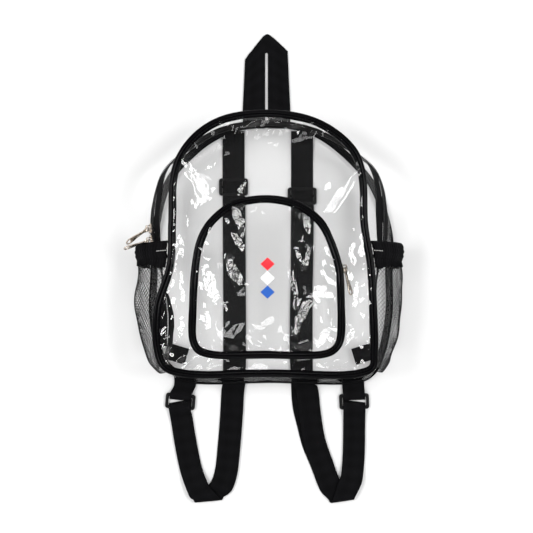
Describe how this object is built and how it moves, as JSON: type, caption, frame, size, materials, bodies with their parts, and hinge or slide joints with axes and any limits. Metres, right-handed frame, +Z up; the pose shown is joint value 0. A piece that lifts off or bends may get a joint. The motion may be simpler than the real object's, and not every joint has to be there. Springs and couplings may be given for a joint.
{
  "type": "clear zip backpack",
  "caption": "Small clear vinyl backpack with an arched top, black piping, a zipped front pocket, net side pockets and webbing straps, lying on its back.",
  "frame": {"origin": "middle of the bounding box in plan, on the floor that the bag lies on", "axes": "+X to the right as the front is looked at, +Y from the bottom of the bag towards its hang loop, +Z up from the back that lies down to the front"},
  "size_m": [0.3077, 0.5434, 0.121],
  "materials": {
    "clear_sheet": "clear soft vinyl sheet, glossy",
    "piping": "glossy black vinyl binding over a cord",
    "zip_tape": "black woven zip tape and elastic",
    "webbing": "black woven webbing",
    "net": "fine black net",
    "moulded": "moulded black plastic, satin",
    "pull_metal": "dark nickel plate"
  },
  "bodies": {
    "root": {"front_panel": "clear_sheet", "back_panel": "clear_sheet", "gusset_front_strip": "clear_sheet", "gusset_rear_strip": "clear_sheet", "gusset_bottom": "clear_sheet", "pocket_panel": "clear_sheet", "pocket_base_strip": "clear_sheet", "front_piping": "piping", "back_piping": "piping", "pocket_piping": "piping", "main_zip_tape_front": "zip_tape", "main_zip_tape_rear": "zip_tape", "main_zip_teeth": "zip_tape", "pocket_zip_tape_outer": "zip_tape", "pocket_zip_tape_base": "zip_tape", "pocket_zip_teeth": "zip_tape", "hang_loop": "webbing", "main_slider_upper": "pull_metal", "main_slider_lower": "pull_metal", "pocket_slider": "pull_metal", "main_pull_upper": "pull_metal", "main_pull_lower": "pull_metal", "pocket_pull": "pull_metal", "mesh_pocket_left": "net", "mesh_hem_left": "zip_tape", "shoulder_strap_left": "webbing", "strap_adjuster_left": "moulded", "strap_ring_left": "moulded", "strap_stub_left": "webbing", "corner_anchor_left": "webbing", "mesh_pocket_right": "net", "mesh_hem_right": "zip_tape", "shoulder_strap_right": "webbing", "strap_adjuster_right": "moulded", "strap_ring_right": "moulded", "strap_stub_right": "webbing", "corner_anchor_right": "webbing"}
  },
  "joints": []
}
